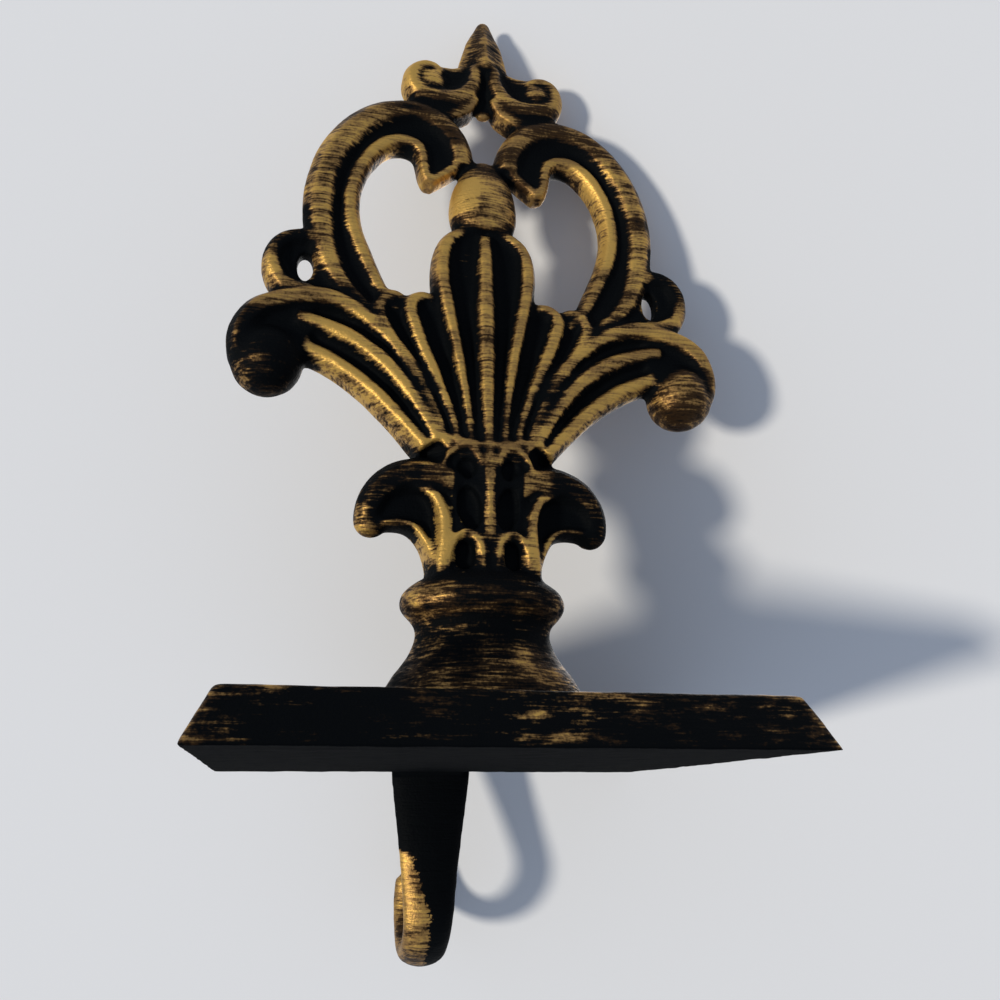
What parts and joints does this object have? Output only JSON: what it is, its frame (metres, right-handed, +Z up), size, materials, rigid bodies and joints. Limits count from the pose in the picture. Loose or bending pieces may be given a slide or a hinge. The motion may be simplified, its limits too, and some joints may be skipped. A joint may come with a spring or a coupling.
{
  "type": "mantel hook",
  "caption": "Cast mantel hook: a bevelled shelf plate with an openwork scroll ornament on a pedestal and a strap hook curling up behind it.",
  "frame": {"origin": "centre of the plate's flat underside, on the shelf's surface", "axes": "+X along the plate's width and across the face of the ornament, +Z up the ornament, -Z out of the plate's underside into the shelf, and +Y towards the edge of the plate that carries the hook"},
  "size_m": [0.1022, 0.125, 0.2105],
  "materials": {
    "painted_casting": "matt black paint with antique gold dry-brushed over the high spots"
  },
  "bodies": {
    "root": {"hook_casting": "painted_casting"}
  },
  "joints": []
}
